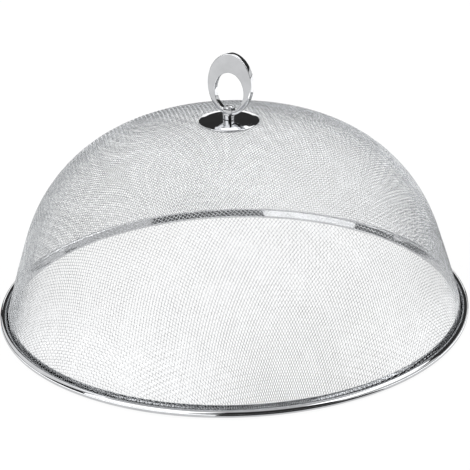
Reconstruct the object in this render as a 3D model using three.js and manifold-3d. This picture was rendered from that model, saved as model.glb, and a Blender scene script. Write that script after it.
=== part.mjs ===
// Food dome of woven stainless steel wire, with a rolled rim and a ring handle.
// Millimetres, +Z up. The origin is the centre of the rim's resting face.
// The ring handle stands in the XZ plane and leans a little to +X.
//
// The skilled feature is the formed cloth. A flat square weave is drawn over the dome without
// stretching its wires, so every side of every mesh keeps its length and the squares shear into
// diamonds between the two straight wire directions. The real cloth has a wire each 2.2 mm. Here
// one wire is drawn for each nine of them, with the same steel per area, fused where they cross.

import * as THREE from 'three';
import { mergeVertices } from 'three/addons/utils/BufferGeometryUtils.js';
import Module from 'manifold-3d';

const wasm = await Module();
wasm.setup();

const DEGREE = Math.PI / 180;

// Gap kept between pieces that touch
const SEAT_GAP = 0.3;

// Cloth: three arcs, tangent to one another, turned about the Z axis
const DOME_HEIGHT = 149;
const CROWN_RADIUS = 266;
const CROWN_ANGLE = 16 * DEGREE;
const SHOULDER_RADIUS = 119;
const SHOULDER_ANGLE = 71.6 * DEGREE;
const SKIRT_RADIUS = 1250;

// Cloth: the weave
const WIRE_DIAMETER = 0.42;
const WIRE_SPACING = 2.2;
const WIRES_PER_DRAWN_WIRE = 9;
const DRAWN_WIRE_HEIGHT = 1.3;
const CLOTH_PROUD = 0.45;
const WEAVE_ANGLE = -10 * DEGREE;
const HEM_HEIGHT = 1.4;

// Rim: one strip, rolled to a hollow bead that clasps the cloth against a leaning inner lip
const RIM_SHEET = 0.5;
const RIM_LIP_HEIGHT = 6.5;
const RIM_LIP_LEAN = 22 * DEGREE;
const RIM_BEAD_DIAMETER = 5.6;
const RIM_CORNER_RADIUS = 1.6;
const RIM_BEAD_END = 165 * DEGREE;

// Cover plate on the crown
const PLATE_DIAMETER = 45;
const PLATE_SHEET = 1.2;
const PLATE_EDGE_ROUND = 1;

// Backing plate under the crown
const BACKING_DIAMETER = 36;
const BACKING_SHEET = 1;

// Handle ring: a flat oval with a low oval eye, leaning a little to one side as in the photograph
const RING_WIDTH = 35.2;
const RING_HEIGHT = 46.8;
const RING_THICKNESS = 5;
const RING_FOOT_RISE = 3.2;
const EYE_WIDTH = 23;
const EYE_HEIGHT = 29.2;
const EYE_FLOOR = 3.1;
const RING_EDGE_ROUND = 0.5;
const RING_LEAN = 4.5 * DEGREE;

// Handle post: a round stem whose fork holds the foot of the ring
const POST_DIAMETER = 9.2;
const POST_SHOULDER_RISE = 4.5;
const POST_FORK_WIDTH = 8;
const POST_CHAMFER = 0.4;

// Screw, spring washer and nut, M4
const SCREW_DIAMETER = 4;
const SCREW_HEAD_DIAMETER = 7.2;
const SCREW_HEAD_HEIGHT = 2.3;
const SCREW_RECESS_SPAN = 4.2;
const SCREW_RECESS_WIDTH = 1.1;
const SCREW_RECESS_DEPTH = 1.3;
const SCREW_RECESS_TURN = 28 * DEGREE;
const SCREW_POINT_BEYOND_NUT = 1.2;
const LOCK_WASHER_DIAMETER = 7.6;
const LOCK_WASHER_THICKNESS = 1;
const LOCK_WASHER_SLIT = 0.8;
const NUT_ACROSS_FLATS = 7;
const NUT_HEIGHT = 3.2;

// Finishes
const POLISHED_STEEL = { color: 0xd2d3d4, roughness: 0.12 };
const WOVEN_STEEL = { color: 0xc4c6c7, roughness: 0.32 };
const PLAIN_STEEL = { color: 0xb4b6b8, roughness: 0.4 };

// A closed mesh as a solid that can be joined and cut
function solid(geometry) {
  const bare = geometry.clone();
  bare.deleteAttribute('normal');
  bare.deleteAttribute('uv');
  const merged = mergeVertices(bare, 1e-4);
  return new wasm.Manifold(new wasm.Mesh({
    numProp: 3,
    vertProperties: new Float32Array(merged.attributes.position.array),
    triVerts: new Uint32Array(merged.index.array),
  }));
}

// A solid back as a geometry to show
function surface(body) {
  const mesh = body.getMesh();
  const geometry = new THREE.BufferGeometry();
  geometry.setAttribute('position', new THREE.BufferAttribute(mesh.vertProperties, 3));
  geometry.setIndex(new THREE.BufferAttribute(mesh.triVerts, 1));
  return geometry;
}

// A profile of [radius, height] pairs, anticlockwise, turned about the Z axis
function turned(profile, segments) {
  const points = profile.map(([radius, height]) => new THREE.Vector2(radius, height));
  return new THREE.LatheGeometry(points, segments).rotateX(Math.PI / 2);
}

// Points along an arc in a profile, between two angles from the outward direction
function arcPoints(centre, radius, from, to, steps) {
  return Array.from({ length: steps + 1 }, (_, step) => {
    const angle = from + (to - from) * step / steps;
    return [centre[0] + radius * Math.cos(angle), centre[1] + radius * Math.sin(angle)];
  });
}

function upright(radius, bottom, top, segments = 24) {
  return new THREE.CylinderGeometry(radius, radius, top - bottom, segments)
    .rotateX(Math.PI / 2)
    .translate(0, 0, (bottom + top) / 2);
}

function block(width, depth, bottom, top) {
  return new THREE.BoxGeometry(width, depth, top - bottom).translate(0, 0, (bottom + top) / 2);
}

// The three arcs of the dome, each with the tangent angle where it ends
const domeArcs = (() => {
  const crown = { radius: CROWN_RADIUS, r: 0, z: DOME_HEIGHT - CROWN_RADIUS, end: CROWN_ANGLE };
  const shoulder = nextArc(crown, SHOULDER_RADIUS, SHOULDER_ANGLE);
  const skirt = nextArc(shoulder, SKIRT_RADIUS, Math.PI / 2);
  return [crown, shoulder, skirt];
})();

function nextArc(arc, radius, end) {
  const step = arc.radius - radius;
  return {
    radius,
    r: arc.r + step * Math.sin(arc.end),
    z: arc.z + step * Math.cos(arc.end),
    end,
  };
}

// The arc that a point beside the dome belongs to
function arcBeside(r, z) {
  return domeArcs.find((arc) => Math.atan2(r - arc.r, z - arc.z) <= arc.end) ?? domeArcs[2];
}

// How far a point stands outside the cloth's middle surface
function standsOff(point) {
  const r = Math.hypot(point.x, point.y);
  const arc = arcBeside(r, point.z);
  return Math.hypot(r - arc.r, point.z - arc.z) - arc.radius;
}

// The outward direction of the cloth at a point
function outward(point) {
  const r = Math.hypot(point.x, point.y);
  const arc = arcBeside(r, point.z);
  const radial = (r - arc.r) / r;
  return new THREE.Vector3(point.x * radial, point.y * radial, point.z - arc.z).normalize();
}

// The radius of the cloth's middle surface at a height on the skirt or the shoulder
function clothRadius(height) {
  const joint = domeArcs[1].z + domeArcs[1].radius * Math.cos(domeArcs[1].end);
  const arc = height < joint ? domeArcs[2] : domeArcs[1];
  return arc.r + Math.sqrt(arc.radius ** 2 - (height - arc.z) ** 2);
}

// The height, over the crown, of a surface a distance outside the cloth's middle surface
function crownHeight(radius, offset) {
  return domeArcs[0].z + Math.sqrt((CROWN_RADIUS + offset) ** 2 - radius ** 2);
}

// The root of a function between two values where its sign differs
function root(value, low, high) {
  const lowSign = Math.sign(value(low));
  let [near, far] = [low, high];
  for (let halving = 0; halving < 44; halving += 1) {
    const middle = (near + far) / 2;
    if (Math.sign(value(middle)) === lowSign) near = middle;
    else far = middle;
  }
  return (near + far) / 2;
}

const drawnSpacing = WIRE_SPACING * WIRES_PER_DRAWN_WIRE;

// The next crossing on the cloth: one spacing from both neighbours, across from the fourth corner
function nextCrossing(left, right, behind) {
  const middle = left.clone().add(right).multiplyScalar(0.5);
  const ahead = middle.clone().sub(behind).normalize();
  const reach = Math.sqrt(drawnSpacing ** 2 - left.distanceToSquared(right) / 4);
  const lift = ahead.clone().cross(left.clone().sub(right)).normalize();
  const at = (angle) => middle.clone()
    .addScaledVector(ahead, reach * Math.cos(angle))
    .addScaledVector(lift, reach * Math.sin(angle));
  return at(root((angle) => standsOff(at(angle)), -Math.PI / 3, Math.PI / 3));
}

// The next crossing of the wire beside a straight wire direction, half a spacing from its plane
function nextBesideAxis(previous) {
  const at = (angle) => new THREE.Vector3(
    previous.x + drawnSpacing * Math.cos(angle),
    previous.y,
    previous.z + drawnSpacing * Math.sin(angle),
  );
  return at(root((angle) => standsOff(at(angle)), -1.6, 0.6));
}

// One quarter of the net's crossings, down past the hem. The net is square at the crown, with
// the middle of a mesh on the axis, and it is mirrored in both straight directions.
function quarterNet() {
  const net = [];
  const half = drawnSpacing / 2;
  const floor = HEM_HEIGHT - drawnSpacing;
  const first = new THREE.Vector3(half, half, crownHeight(Math.hypot(half, half), 0));
  for (let along = 0; along === 0 || net[along - 1][0]?.z > floor; along += 1) {
    net.push([along === 0 ? first : nextBesideAxis(net[along - 1][0])]);
  }
  for (let across = 1; across < net.length; across += 1) {
    const mirrored = net[across][0];
    net[0].push(new THREE.Vector3(mirrored.y, mirrored.x, mirrored.z));
    for (let along = 1; along < net.length; along += 1) {
      const left = net[along - 1][across];
      const right = net[along][across - 1];
      const known = left && right && Math.min(left.z, right.z) > floor;
      net[along].push(known ? nextCrossing(left, right, net[along - 1][across - 1]) : undefined);
    }
  }
  return net;
}

// The four directions in which wires leave a crossing, in order round it
const WAYS = [[1, 0], [0, 1], [-1, 0], [0, -1]];

// Every crossing, with its neighbours, keyed by its place in the weave
function wholeNet() {
  const quarter = quarterNet();
  const places = quarter.length;
  const crossings = new Map();
  const key = (i, j) => `${i},${j}`;
  const turn = new THREE.Vector3(0, 0, 1);
  for (let i = -places; i < places; i += 1) {
    for (let j = -places; j < places; j += 1) {
      const found = quarter[i < 0 ? -1 - i : i][j < 0 ? -1 - j : j];
      if (found) {
        const place = new THREE.Vector3(i < 0 ? -found.x : found.x, j < 0 ? -found.y : found.y, found.z);
        crossings.set(key(i, j), { i, j, place: place.applyAxisAngle(turn, WEAVE_ANGLE) });
      }
    }
  }
  const kept = (a, b) => Math.max(a.place.z, b.place.z) > HEM_HEIGHT;
  for (const crossing of crossings.values()) {
    crossing.next = WAYS.map(([di, dj]) => {
      const other = crossings.get(key(crossing.i + di, crossing.j + dj));
      return other && kept(crossing, other) ? other : undefined;
    });
  }
  return [...crossings.values()].filter((crossing) => crossing.next.some(Boolean));
}

// The width of a drawn wire's base, for the steel of the real wires that it stands for
const realWireArea = Math.PI * WIRE_DIAMETER ** 2 / 4;
const drawnWireWidth = 2 * realWireArea * WIRES_PER_DRAWN_WIRE / DRAWN_WIRE_HEIGHT;

// Corner points of a crossing: a ridge outside, and the four inner corners between its wires
function crossingCorners(crossing) {
  const normal = outward(crossing.place);
  const towards = crossing.next.map((other, way) => {
    const opposite = crossing.next[(way + 2) % 4];
    const from = other ? other.place.clone().sub(crossing.place) : crossing.place.clone().sub(
      (opposite ?? crossing).place);
    return from.addScaledVector(normal, -from.dot(normal)).normalize();
  });
  const bearings = fillBearings(towards, normal);
  const inner = crossing.place.clone().addScaledVector(normal, CLOTH_PROUD - DRAWN_WIRE_HEIGHT);
  const corners = bearings.map((bearing, way) => {
    const following = bearings[(way + 1) % 4];
    const width = drawnWireWidth / 2 / bearing.clone().cross(following).length();
    return inner.clone().addScaledVector(bearing, width).addScaledVector(following, width);
  });
  return [crossing.place.clone().addScaledVector(normal, CLOTH_PROUD), ...corners];
}

// Directions for ways that no wire takes at either side, square to the ones that are known
function fillBearings(towards, normal) {
  return towards.map((bearing, way) => {
    if (bearing.lengthSq() > 0.5) return bearing;
    return towards[(way + 3) % 4].clone().applyAxisAngle(normal, Math.PI / 2);
  });
}

// The net as one closed mesh: each wire is a three-sided bar from crossing to crossing
function netGeometry() {
  const crossings = wholeNet();
  const positions = [];
  const faces = [];
  crossings.forEach((crossing, index) => {
    crossing.start = index * 5;
    crossingCorners(crossing).forEach((corner) => positions.push(corner.x, corner.y, corner.z));
  });
  const quad = (a, b, c, d) => faces.push(a, b, c, a, c, d);
  for (const { start, next } of crossings) {
    quad(start + 4, start + 3, start + 2, start + 1);
    WAYS.forEach((_, way) => {
      const leftCorner = start + 1 + way;
      const rightCorner = start + 1 + (way + 3) % 4;
      const other = next[way];
      if (!other) faces.push(start, rightCorner, leftCorner);
      else if (way < 2) {
        const otherLeft = other.start + 1 + (way + 1) % 4;
        const otherRight = other.start + 1 + (way + 2) % 4;
        quad(start, other.start, otherLeft, leftCorner);
        quad(start, rightCorner, otherRight, other.start);
        quad(rightCorner, leftCorner, otherLeft, otherRight);
      }
    });
  }
  const geometry = new THREE.BufferGeometry();
  geometry.setAttribute('position', new THREE.Float32BufferAttribute(positions, 3));
  geometry.setIndex(faces);
  return geometry;
}

// The formed cloth, trimmed level inside the rim
function meshDome() {
  const below = HEM_HEIGHT - 4 * drawnSpacing;
  const reach = 4 * clothRadius(HEM_HEIGHT);
  return surface(solid(netGeometry()).subtract(solid(block(reach, reach, below, HEM_HEIGHT))));
}

// A strip of sheet metal as a closed section: its middle line, set off to both sides
function stripSection(line, sheet) {
  const normals = line.map((_, index) => {
    const before = line[Math.max(index - 1, 0)];
    const after = line[Math.min(index + 1, line.length - 1)];
    const sides = [[before, line[index]], [line[index], after]]
      .map(([from, to]) => new THREE.Vector2(from[1] - to[1], to[0] - from[0]))
      .filter((side) => side.length() > 0)
      .map((side) => side.normalize());
    const sum = sides.reduce((total, side) => total.add(side), new THREE.Vector2()).normalize();
    return sum.divideScalar(Math.max(sum.dot(sides[0]), 0.5));
  });
  const shifted = (side) => line.map(([r, z], index) => [
    r + side * normals[index].x * sheet / 2,
    z + side * normals[index].y * sheet / 2,
  ]);
  const section = [...shifted(-1), ...shifted(1).reverse()];
  return [...section, section[0]];
}

// How far the middle of the rim's sheet stands inside the cloth's middle surface
const rimInnerOffset = DRAWN_WIRE_HEIGHT - CLOTH_PROUD + SEAT_GAP + RIM_SHEET / 2;

// The middle line of the inner lip, from its top down and in, and round the corner below it
function rimLip() {
  const top = [clothRadius(RIM_LIP_HEIGHT) - rimInnerOffset, RIM_LIP_HEIGHT];
  const cornerHeight = RIM_SHEET / 2 + RIM_CORNER_RADIUS;
  const foot = cornerHeight + RIM_CORNER_RADIUS * Math.sin(RIM_LIP_LEAN);
  const footRadius = top[0] - (RIM_LIP_HEIGHT - foot) * Math.tan(RIM_LIP_LEAN);
  const corner = [footRadius + RIM_CORNER_RADIUS * Math.cos(RIM_LIP_LEAN), cornerHeight];
  return [top, ...arcPoints(corner, RIM_CORNER_RADIUS, Math.PI - RIM_LIP_LEAN, Math.PI * 1.5, 3)];
}

// The rim: the inner lip, then along the resting face, and round the bead to the cloth
function rimBand() {
  const beadHeight = RIM_BEAD_DIAMETER / 2;
  const beadRadius = (RIM_BEAD_DIAMETER - RIM_SHEET) / 2;
  const edgeHeight = beadHeight * (1 + Math.sin(RIM_BEAD_END));
  const edgeStandoff = CLOTH_PROUD + SEAT_GAP;
  const bead = [clothRadius(edgeHeight) + edgeStandoff - beadHeight * Math.cos(RIM_BEAD_END), beadHeight];
  const line = [...rimLip(), ...arcPoints(bead, beadRadius, -Math.PI / 2, RIM_BEAD_END, 9)];
  return turned(stripSection(line, RIM_SHEET), 72);
}

const boreRadius = SCREW_DIAMETER / 2 + SEAT_GAP;
const plateUnderside = CLOTH_PROUD + SEAT_GAP;
const plateTop = plateUnderside + PLATE_SHEET;
const backingTop = CLOTH_PROUD - DRAWN_WIRE_HEIGHT - SEAT_GAP;
const backingUnderside = backingTop - BACKING_SHEET;

// A round plate between two surfaces that follow the crown, bored for the screw
function crownPlate(radius, underside, top, edgeRound) {
  const inner = (offset) => [boreRadius, crownHeight(boreRadius, offset)];
  const middle = (offset) => [(radius + boreRadius) / 2, crownHeight((radius + boreRadius) / 2, offset)];
  const rounded = edgeRound > 0
    ? arcPoints([radius - edgeRound, crownHeight(radius, top) - edgeRound], edgeRound, 0, Math.PI / 2, 3)
    : [[radius, crownHeight(radius, top)]];
  const profile = [
    inner(underside),
    middle(underside),
    [radius, crownHeight(radius, underside)],
    ...rounded,
    middle(top),
    inner(top),
    inner(underside),
  ];
  return turned(profile, 44);
}

function topPlate() {
  return crownPlate(PLATE_DIAMETER / 2, plateUnderside, plateTop, PLATE_EDGE_ROUND);
}

function backingPlate() {
  return crownPlate(BACKING_DIAMETER / 2, backingUnderside, backingTop, 0);
}

// Heights up the handle
const postFoot = crownHeight(boreRadius, plateTop) + SEAT_GAP;
const ringFoot = postFoot + RING_FOOT_RISE;
const forkGap = RING_THICKNESS / 2 + SEAT_GAP;

// The head rests on the fork, and with its edge on the curve of the leaning eye's floor
const eyeCurve = EYE_HEIGHT / 2 * (1 - Math.sqrt(1 - (SCREW_HEAD_DIAMETER / EYE_WIDTH) ** 2));
const eyeLean = SCREW_HEAD_DIAMETER / 2 * Math.tan(RING_LEAN);
const headFoot = ringFoot + EYE_FLOOR + eyeCurve + eyeLean + SEAT_GAP;

// An oval standing in the XZ plane, as an outline or as a hole
function oval(path, width, height, bottom) {
  return path.absellipse(0, bottom + height / 2, width / 2, height / 2, 0, Math.PI * 2, false, 0);
}

function handleRing() {
  const outline = oval(new THREE.Shape(), RING_WIDTH - 2 * RING_EDGE_ROUND,
    RING_HEIGHT - 2 * RING_EDGE_ROUND, ringFoot + RING_EDGE_ROUND);
  const eyeFloor = ringFoot + EYE_FLOOR;
  outline.holes.push(oval(new THREE.Path(), EYE_WIDTH + 2 * RING_EDGE_ROUND,
    EYE_HEIGHT + 2 * RING_EDGE_ROUND, eyeFloor - RING_EDGE_ROUND));
  const flat = RING_THICKNESS - 2 * RING_EDGE_ROUND;
  const ring = new THREE.ExtrudeGeometry(outline, {
    depth: flat,
    curveSegments: 26,
    bevelThickness: RING_EDGE_ROUND,
    bevelSize: RING_EDGE_ROUND,
    bevelSegments: 2,
  }).translate(0, 0, -flat / 2).rotateX(Math.PI / 2);
  ring.translate(0, 0, -postFoot).rotateY(RING_LEAN).translate(0, 0, postFoot);
  const bore = upright(boreRadius, ringFoot - EYE_FLOOR, eyeFloor + EYE_FLOOR);
  return surface(solid(ring).subtract(solid(bore)));
}

function handlePost() {
  const radius = POST_DIAMETER / 2;
  const shoulder = postFoot + POST_SHOULDER_RISE;
  const top = headFoot - SEAT_GAP;
  const profile = [
    [0, postFoot],
    [radius - POST_CHAMFER, postFoot],
    [radius, postFoot + POST_CHAMFER],
    [radius, top - POST_CHAMFER],
    [radius - POST_CHAMFER, top],
    [0, top],
  ];
  const slot = block(2 * POST_DIAMETER, 2 * forkGap, ringFoot - SEAT_GAP, top + POST_DIAMETER);
  const side = (sign) => block(2 * POST_DIAMETER, POST_DIAMETER, shoulder, top + POST_DIAMETER)
    .translate(0, sign * (POST_FORK_WIDTH + POST_DIAMETER) / 2, 0);
  return surface(solid(turned(profile, 32))
    .subtract(solid(slot))
    .subtract(solid(side(1)))
    .subtract(solid(side(-1)))
    .subtract(solid(upright(boreRadius, postFoot - POST_DIAMETER, top + POST_DIAMETER))));
}

const lockWasherTop = crownHeight(LOCK_WASHER_DIAMETER / 2, backingUnderside) - SEAT_GAP;
const nutTop = lockWasherTop - LOCK_WASHER_THICKNESS - SEAT_GAP;
const screwPoint = nutTop - NUT_HEIGHT - SCREW_POINT_BEYOND_NUT;

function handleScrew() {
  const shank = SCREW_DIAMETER / 2;
  const head = SCREW_HEAD_DIAMETER / 2;
  const crownRise = SCREW_HEAD_HEIGHT / 3;
  const top = headFoot + SCREW_HEAD_HEIGHT;
  const profile = [
    [0, screwPoint],
    [shank * 0.7, screwPoint],
    [shank, screwPoint + shank * 0.3],
    [shank, headFoot],
    [head, headFoot],
    [head, top - 2 * crownRise],
    [head * 0.88, top - crownRise],
    [head * 0.6, top - crownRise * 0.2],
    [0, top],
  ];
  const slot = (turn) => block(SCREW_RECESS_SPAN, SCREW_RECESS_WIDTH, top - SCREW_RECESS_DEPTH, top + head)
    .rotateZ(turn);
  return surface(solid(turned(profile, 24))
    .subtract(solid(slot(SCREW_RECESS_TURN)))
    .subtract(solid(slot(SCREW_RECESS_TURN + Math.PI / 2))));
}

// A spring washer: a flat ring with a slit
function lockWasher() {
  const outer = LOCK_WASHER_DIAMETER / 2;
  const slit = Math.asin(LOCK_WASHER_SLIT / 2 / boreRadius);
  const shape = new THREE.Shape();
  shape.absarc(0, 0, outer, slit, 2 * Math.PI - slit, false);
  shape.absarc(0, 0, boreRadius, 2 * Math.PI - slit, slit, true);
  shape.closePath();
  return new THREE.ExtrudeGeometry(shape, {
    depth: LOCK_WASHER_THICKNESS,
    curveSegments: 14,
    bevelEnabled: false,
  }).translate(0, 0, lockWasherTop - LOCK_WASHER_THICKNESS);
}

// A hexagon nut with its corners turned off above and below
function hexNut() {
  const corner = NUT_ACROSS_FLATS / Math.sqrt(3);
  const bottom = nutTop - NUT_HEIGHT;
  const turnedOff = corner - NUT_ACROSS_FLATS / 2;
  const profile = [
    [0, bottom],
    [NUT_ACROSS_FLATS / 2, bottom],
    [corner + turnedOff, bottom + turnedOff],
    [corner + turnedOff, nutTop - turnedOff],
    [NUT_ACROSS_FLATS / 2, nutTop],
    [0, nutTop],
  ];
  return surface(solid(upright(corner, bottom, nutTop, 6))
    .intersect(solid(turned(profile, 30)))
    .subtract(solid(upright(boreRadius, bottom - NUT_HEIGHT, nutTop + NUT_HEIGHT))));
}

const dome = new THREE.Group();

function add(name, geometry, finish) {
  const mesh = new THREE.Mesh(geometry, new THREE.MeshStandardMaterial({ metalness: 1, ...finish }));
  mesh.name = name;
  dome.add(mesh);
}

add('mesh_dome', meshDome(), WOVEN_STEEL);
add('rim_band', rimBand(), POLISHED_STEEL);
add('top_plate', topPlate(), POLISHED_STEEL);
add('handle_post', handlePost(), POLISHED_STEEL);
add('handle_ring', handleRing(), POLISHED_STEEL);
add('handle_screw', handleScrew(), POLISHED_STEEL);
add('backing_plate', backingPlate(), PLAIN_STEEL);
add('lock_washer', lockWasher(), PLAIN_STEEL);
add('hex_nut', hexNut(), PLAIN_STEEL);

export default dome;
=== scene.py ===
"""Food dome of woven stainless steel wire, with a rolled rim and a ring handle.

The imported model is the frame. Sizes here are in millimetres and are turned to metres where a mesh
is made. The origin is the centre of the rim's resting face, and the ring stands in the XZ plane.
"""

import logging
import math
from dataclasses import dataclass, field
from enum import Enum
from typing import Iterable, Optional, Sequence

import bmesh
import bpy
from mathutils import Matrix, Vector

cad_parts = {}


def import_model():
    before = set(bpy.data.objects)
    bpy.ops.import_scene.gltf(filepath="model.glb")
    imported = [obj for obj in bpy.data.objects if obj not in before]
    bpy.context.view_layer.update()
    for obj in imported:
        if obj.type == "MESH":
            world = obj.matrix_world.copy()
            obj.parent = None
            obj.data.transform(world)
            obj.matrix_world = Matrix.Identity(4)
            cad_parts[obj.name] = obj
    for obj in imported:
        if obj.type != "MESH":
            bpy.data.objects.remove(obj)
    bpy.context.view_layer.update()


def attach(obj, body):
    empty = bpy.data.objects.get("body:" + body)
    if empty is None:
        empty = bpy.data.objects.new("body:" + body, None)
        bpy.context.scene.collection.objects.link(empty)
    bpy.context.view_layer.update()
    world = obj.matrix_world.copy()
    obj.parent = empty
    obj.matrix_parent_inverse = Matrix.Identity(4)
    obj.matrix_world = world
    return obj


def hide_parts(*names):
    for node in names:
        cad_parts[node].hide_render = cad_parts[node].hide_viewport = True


LOG = logging.getLogger("food_dome")
MM = 0.001
BODY = "root"

SQUARE = ((-1, -1), (1, -1), (1, 1), (-1, 1))
CAMERA_TURN = math.radians(27.0)

Point = tuple[float, float, float]
Section = list[tuple[float, float]]
Wire = list[tuple[Vector, float]]


def linear(value: str) -> tuple[float, float, float, float]:
    """Turns an sRGB hex colour to linear light.

    Args:
        value: Six hex digits, such as "c8cacc".

    Returns:
        Red, green, blue and an alpha of one.
    """
    channels = [int(value[start:start + 2], 16) / 255 for start in (0, 2, 4)]
    light = [c / 12.92 if c <= 0.04045 else ((c + 0.055) / 1.055) ** 2.4 for c in channels]
    return (light[0], light[1], light[2], 1.0)


def add_node(
    tree: bpy.types.NodeTree,
    kind: str,
    settings: Optional[dict] = None,
    links: Optional[dict] = None,
) -> bpy.types.Node:
    """Adds a node with its settings and links.

    Args:
        tree: The tree that gets the node.
        kind: The node's type name.
        settings: Values by property name, or by an input's name or number.
        links: Source sockets by an input's name or number.

    Returns:
        The new node.
    """
    node = tree.nodes.new(kind)
    for key, value in (settings or {}).items():
        if isinstance(key, int) or key in node.inputs:
            node.inputs[key].default_value = value
        else:
            setattr(node, key, value)
    for key, source in (links or {}).items():
        tree.links.new(source, node.inputs[key])
    return node


class Look(Enum):
    """The finishes of the object, by the record's material slot."""

    POLISHED = "polished_steel"
    WOVEN = "woven_steel"
    PLAIN = "plain_steel"


@dataclass(frozen=True)
class SteelFinish:
    """What the finishes share: steel whose grey drifts between two tones in soft patches."""

    title: str
    pale: str
    deep: str
    roughness: tuple[float, float]
    tint_span: tuple[float, float] = (0.35, 0.65)
    roughness_span: tuple[float, float] = (0.3, 0.7)

    def _start(
        self, grains: Sequence[tuple[float, float]],
    ) -> tuple[bpy.types.Material, list[bpy.types.NodeSocket]]:
        """Starts the material, with a noise for each grain. The first one tints the steel.

        Args:
            grains: Each grain's size in millimetres and its detail.

        Returns:
            The material and the noises' outputs.
        """
        material = bpy.data.materials.new(self.title)
        material.use_nodes = True
        tree = material.node_tree
        shader = tree.nodes["Principled BSDF"]
        shader.inputs["Metallic"].default_value = 1.0
        place = add_node(tree, "ShaderNodeTexCoord").outputs["Object"]
        noises = [
            add_node(tree, "ShaderNodeTexNoise", {"Scale": 1 / (size * MM), "Detail": detail},
                     {"Vector": place}).outputs["Fac"]
            for size, detail in grains
        ]
        tint = add_node(tree, "ShaderNodeValToRGB", {}, {"Fac": noises[0]})
        tones = zip(tint.color_ramp.elements, self.tint_span, (self.deep, self.pale))
        for element, position, tone in tones:
            element.position = position
            element.color = linear(tone)
        tree.links.new(tint.outputs["Color"], shader.inputs["Base Color"])
        return material, noises

    def _finish(
        self,
        material: bpy.types.Material,
        haze: bpy.types.NodeSocket,
        relief: Optional[bpy.types.NodeSocket] = None,
        depth_mm: float = 0.0,
    ) -> bpy.types.Material:
        """Gives the material its roughness and its relief.

        Args:
            material: The material that was started.
            haze: The noise that drives the roughness.
            relief: The noise that drives the relief, or None.
            depth_mm: The relief's depth.

        Returns:
            The same material.
        """
        tree = material.node_tree
        shader = tree.nodes["Principled BSDF"]
        rough = add_node(
            tree, "ShaderNodeMapRange",
            {"From Min": self.roughness_span[0], "From Max": self.roughness_span[1],
             "To Min": self.roughness[0], "To Max": self.roughness[1]}, {"Value": haze})
        tree.links.new(rough.outputs["Result"], shader.inputs["Roughness"])
        if relief is not None:
            bump = add_node(
                tree, "ShaderNodeBump", {"Strength": 1.0, "Distance": depth_mm * MM},
                {"Height": relief})
            tree.links.new(bump.outputs["Normal"], shader.inputs["Normal"])
        return material


@dataclass(frozen=True)
class PolishedSteel(SteelFinish):
    """Stainless steel sheet and castings, ground and then mirror polished on a wheel.

    The eye sees a hard mirror image of the studio, a little broken by fine hazy wheel marks.
    """

    title: str = "mirror_polished_stainless_steel"
    pale: str = "c3c4c6"
    deep: str = "bbbcbe"
    roughness: tuple[float, float] = (0.03, 0.075)
    roughness_span: tuple[float, float] = (0.12, 0.42)
    patch_mm: float = 9.0
    mark_mm: float = 0.35
    ripple_mm: float = 6.0
    ripple_depth_mm: float = 0.004

    def build(self) -> bpy.types.Material:
        """Builds the material, whose wheel marks are stronger in some patches.

        Returns:
            The material.
        """
        material, (patches, marks, ripple) = self._start(
            ((self.patch_mm, 3.0), (self.mark_mm, 2.0), (self.ripple_mm, 1.0)))
        both = add_node(
            material.node_tree, "ShaderNodeMath", {"operation": "MULTIPLY"}, {0: patches, 1: marks})
        return self._finish(material, both.outputs[0], ripple, self.ripple_depth_mm)


@dataclass(frozen=True)
class DrawnWire(SteelFinish):
    """Stainless steel wire, drawn bright through a die and then woven.

    The eye sees a soft grey sheen that runs along each wire, with paler and darker stretches.
    """

    title: str = "woven_bright_drawn_stainless_wire"
    pale: str = "cfd1d3"
    deep: str = "bcbec0"
    roughness: tuple[float, float] = (0.2, 0.14)
    stretch_mm: float = 7.0

    def build(self) -> bpy.types.Material:
        """Builds the material."""
        material, (stretches,) = self._start(((self.stretch_mm, 3.0),))
        return self._finish(material, stretches)


@dataclass(frozen=True)
class RolledSteel(SteelFinish):
    """Cold rolled stainless steel, pressed to shape and left as it came from the press.

    The eye sees an even satin grey with a fine grain.
    """

    title: str = "cold_rolled_stainless_steel"
    pale: str = "b9babc"
    deep: str = "a9aaac"
    roughness: tuple[float, float] = (0.3, 0.42)
    tint_span: tuple[float, float] = (0.0, 1.0)
    patch_mm: float = 6.0
    grain_mm: float = 0.5
    grain_depth_mm: float = 0.01

    def build(self) -> bpy.types.Material:
        """Builds the material."""
        material, (_, grain) = self._start(((self.patch_mm, 4.0), (self.grain_mm, 3.0)))
        return self._finish(material, grain, grain, self.grain_depth_mm)


def glowing_sheet(name: str, scatter: str, colour: str, glow: float) -> bpy.types.Material:
    """A matt acrylic sheet, lit from below or left dark.

    The eye sees an even tone without a shine, and the polished pieces mirror it. Its light is a glow of its
    own. On the cards, which only reflections show, the glow or the dark tone is a painted reflection.

    Args:
        name: The material's name.
        scatter: The tone that the studio's light finds.
        colour: The colour of its own light.
        glow: The strength of its own light.

    Returns:
        The material.
    """
    material = bpy.data.materials.new(name)
    material.use_nodes = True
    shader = material.node_tree.nodes["Principled BSDF"]
    for socket, value in (
        ("Base Color", linear(scatter)), ("Roughness", 0.9),
        ("Emission Color", linear(colour)), ("Emission Strength", glow),
    ):
        shader.inputs[socket].default_value = value
    return material


def add_object(name: str, data: bpy.types.ID) -> bpy.types.Object:
    """Adds an object to the scene.

    Args:
        name: The object's name.
        data: Its mesh, light or camera.

    Returns:
        The object.
    """
    made = bpy.data.objects.new(name, data)
    bpy.context.scene.collection.objects.link(made)
    return made


def circle(radius: float, height: float, count: int) -> list[Point]:
    """Points round the Z axis at one height, or one point on it."""
    angles = (2 * math.pi * step / count for step in range(count))
    return [(radius * math.cos(angle), radius * math.sin(angle), height) for angle in angles]


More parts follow.
